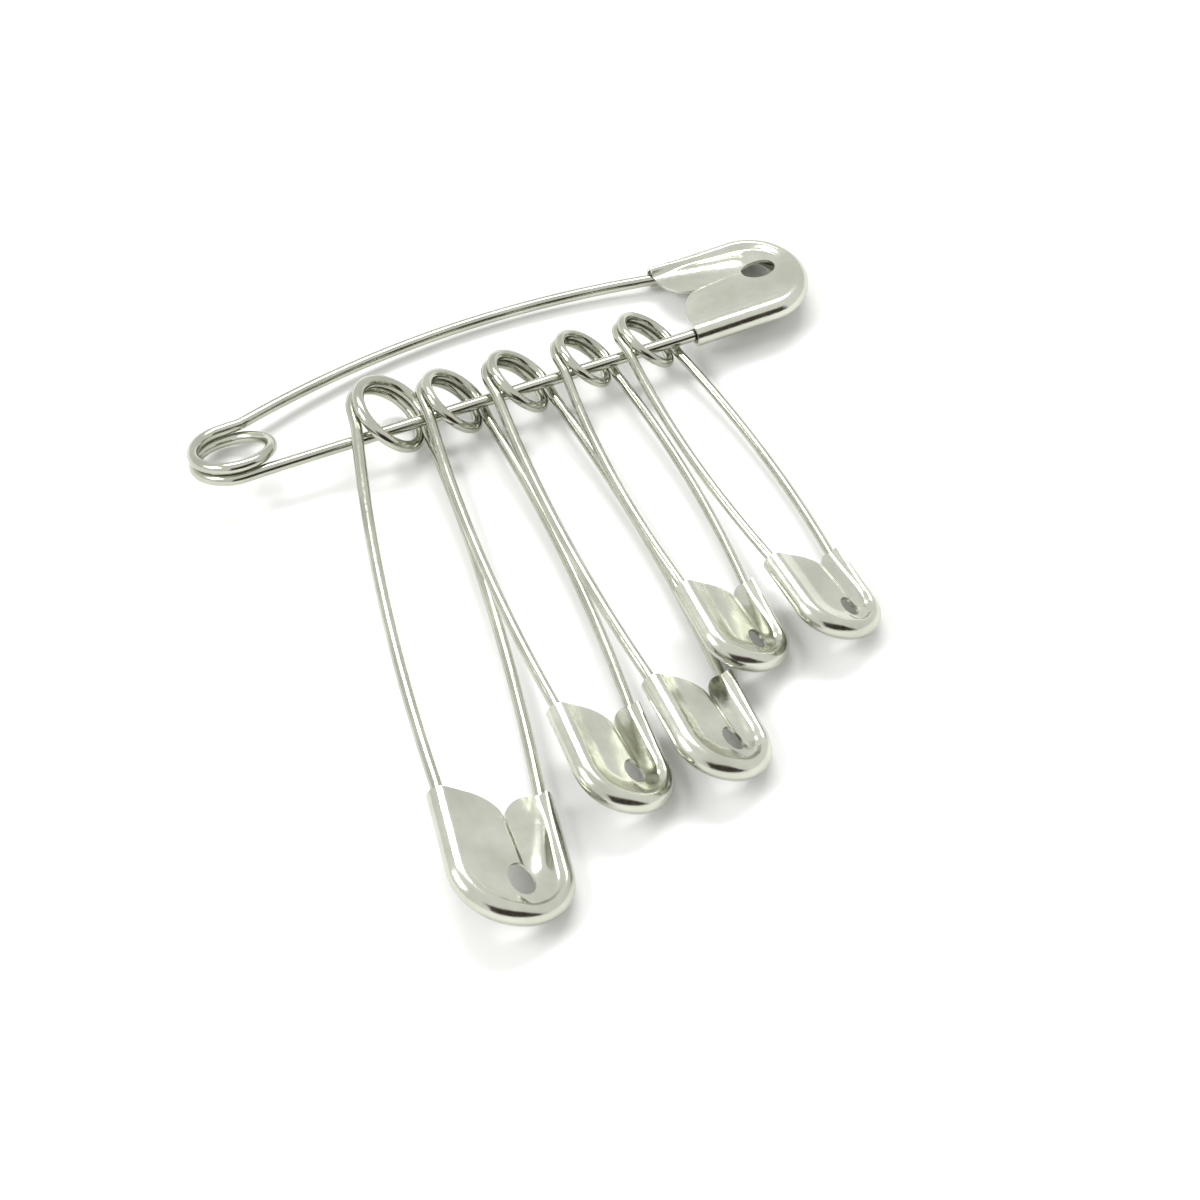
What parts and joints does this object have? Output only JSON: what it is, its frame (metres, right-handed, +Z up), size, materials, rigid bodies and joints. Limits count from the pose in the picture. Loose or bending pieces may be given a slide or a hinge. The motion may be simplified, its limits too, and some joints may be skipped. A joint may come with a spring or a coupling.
{
  "type": "safety pin",
  "caption": "Bunch of closed safety pins: smaller ones strung by their coil eyes on the fixed arm of a large one, each with a coiled wire, a needle arm and a folded cap.",
  "frame": {"origin": "on the table, below the middle of the whole bunch", "axes": "+X along the large pin from its coil towards its cap, -Y towards the caps of the strung pins, +Z up from the table"},
  "size_m": [0.054, 0.058, 0.0059],
  "materials": {
    "wire": "bright nickel plating over spring steel wire",
    "cap": "bright nickel plating over thin sheet steel, slightly softer than the wire"
  },
  "bodies": {
    "large_pin": {"large_pin_fixed_arm": "wire", "large_pin_coil": "wire", "large_pin_cap": "cap"},
    "large_needle": {"large_pin_needle": "wire"},
    "strung_pin_1": {"strung_pin_1_fixed_arm": "wire", "strung_pin_1_coil": "wire", "strung_pin_1_cap": "cap"},
    "strung_needle_1": {"strung_pin_1_needle": "wire"},
    "strung_pin_2": {"strung_pin_2_fixed_arm": "wire", "strung_pin_2_coil": "wire", "strung_pin_2_cap": "cap"},
    "strung_needle_2": {"strung_pin_2_needle": "wire"},
    "strung_pin_3": {"strung_pin_3_fixed_arm": "wire", "strung_pin_3_coil": "wire", "strung_pin_3_cap": "cap"},
    "strung_needle_3": {"strung_pin_3_needle": "wire"},
    "strung_pin_4": {"strung_pin_4_fixed_arm": "wire", "strung_pin_4_coil": "wire", "strung_pin_4_cap": "cap"},
    "strung_needle_4": {"strung_pin_4_needle": "wire"},
    "strung_pin_5": {"strung_pin_5_fixed_arm": "wire", "strung_pin_5_coil": "wire", "strung_pin_5_cap": "cap"},
    "strung_needle_5": {"strung_pin_5_needle": "wire"}
  },
  "joints": [
    {"name": "strung_pin_1_swing", "type": "hinge", "parent": "large_pin", "child": "strung_pin_1", "pos_m": [-0.01067, 0.01892, 0.00298], "axis": [0.9997, -0.0257, -0.0054], "range_deg": [-130, 0]},
    {"name": "strung_pin_2_swing", "type": "hinge", "parent": "large_pin", "child": "strung_pin_2", "pos_m": [-0.00551, 0.01878, 0.00295], "axis": [0.9997, -0.0257, -0.0054], "range_deg": [-130, 0]},
    {"name": "strung_pin_3_swing", "type": "hinge", "parent": "large_pin", "child": "strung_pin_3", "pos_m": [0.00014, 0.01864, 0.00292], "axis": [0.9997, -0.0257, -0.0054], "range_deg": [-130, 0]},
    {"name": "strung_pin_4_swing", "type": "hinge", "parent": "large_pin", "child": "strung_pin_4", "pos_m": [0.00593, 0.01849, 0.00289], "axis": [0.9997, -0.0257, -0.0054], "range_deg": [-130, 0]},
    {"name": "strung_pin_5_swing", "type": "hinge", "parent": "large_pin", "child": "strung_pin_5", "pos_m": [0.01136, 0.01835, 0.00286], "axis": [0.9997, -0.0257, -0.0054], "range_deg": [-130, 0]},
    {"name": "large_pin_needle_open", "type": "hinge", "parent": "large_pin", "child": "large_needle", "pos_m": [-0.02156, 0.02554, 0.00181], "axis": [0.9366, 0.1824, -0.2992], "range_deg": [0, 324], "stiffness_Nm_per_rad": 0.0002, "springref_deg": -20.05},
    {"name": "strung_pin_1_needle_open", "type": "hinge", "parent": "strung_pin_1", "child": "strung_needle_1", "pos_m": [-0.00808, 0.01813, 0.00172], "axis": [-0.0718, -0.944, -0.3219], "range_deg": [0, 300], "stiffness_Nm_per_rad": 0.0002, "springref_deg": -20.05},
    {"name": "strung_pin_2_needle_open", "type": "hinge", "parent": "strung_pin_2", "child": "strung_needle_2", "pos_m": [-0.00311, 0.01787, 0.00173], "axis": [0.0364, -0.9423, -0.3328], "range_deg": [0, 300], "stiffness_Nm_per_rad": 0.0002, "springref_deg": -20.05},
    {"name": "strung_pin_3_needle_open", "type": "hinge", "parent": "strung_pin_3", "child": "strung_needle_3", "pos_m": [0.00265, 0.01777, 0.0017], "axis": [0.094, -0.9386, -0.332], "range_deg": [0, 300], "stiffness_Nm_per_rad": 0.0002, "springref_deg": -20.05},
    {"name": "strung_pin_4_needle_open", "type": "hinge", "parent": "strung_pin_4", "child": "strung_needle_4", "pos_m": [0.00825, 0.01798, 0.00172], "axis": [0.0886, -0.9367, -0.3388], "range_deg": [0, 300], "stiffness_Nm_per_rad": 0.0002, "springref_deg": -20.05},
    {"name": "strung_pin_5_needle_open", "type": "hinge", "parent": "strung_pin_5", "child": "strung_needle_5", "pos_m": [0.01378, 0.01792, 0.0017], "axis": [0.1621, -0.9272, -0.3378], "range_deg": [0, 320], "stiffness_Nm_per_rad": 0.0002, "springref_deg": -20.05}
  ],
  "couplings": [
    {"joint": "strung_pin_2_swing", "follows": "strung_pin_1_swing", "ratio": 1},
    {"joint": "strung_pin_3_swing", "follows": "strung_pin_1_swing", "ratio": 1},
    {"joint": "strung_pin_4_swing", "follows": "strung_pin_1_swing", "ratio": 1},
    {"joint": "strung_pin_5_swing", "follows": "strung_pin_1_swing", "ratio": 1}
  ]
}
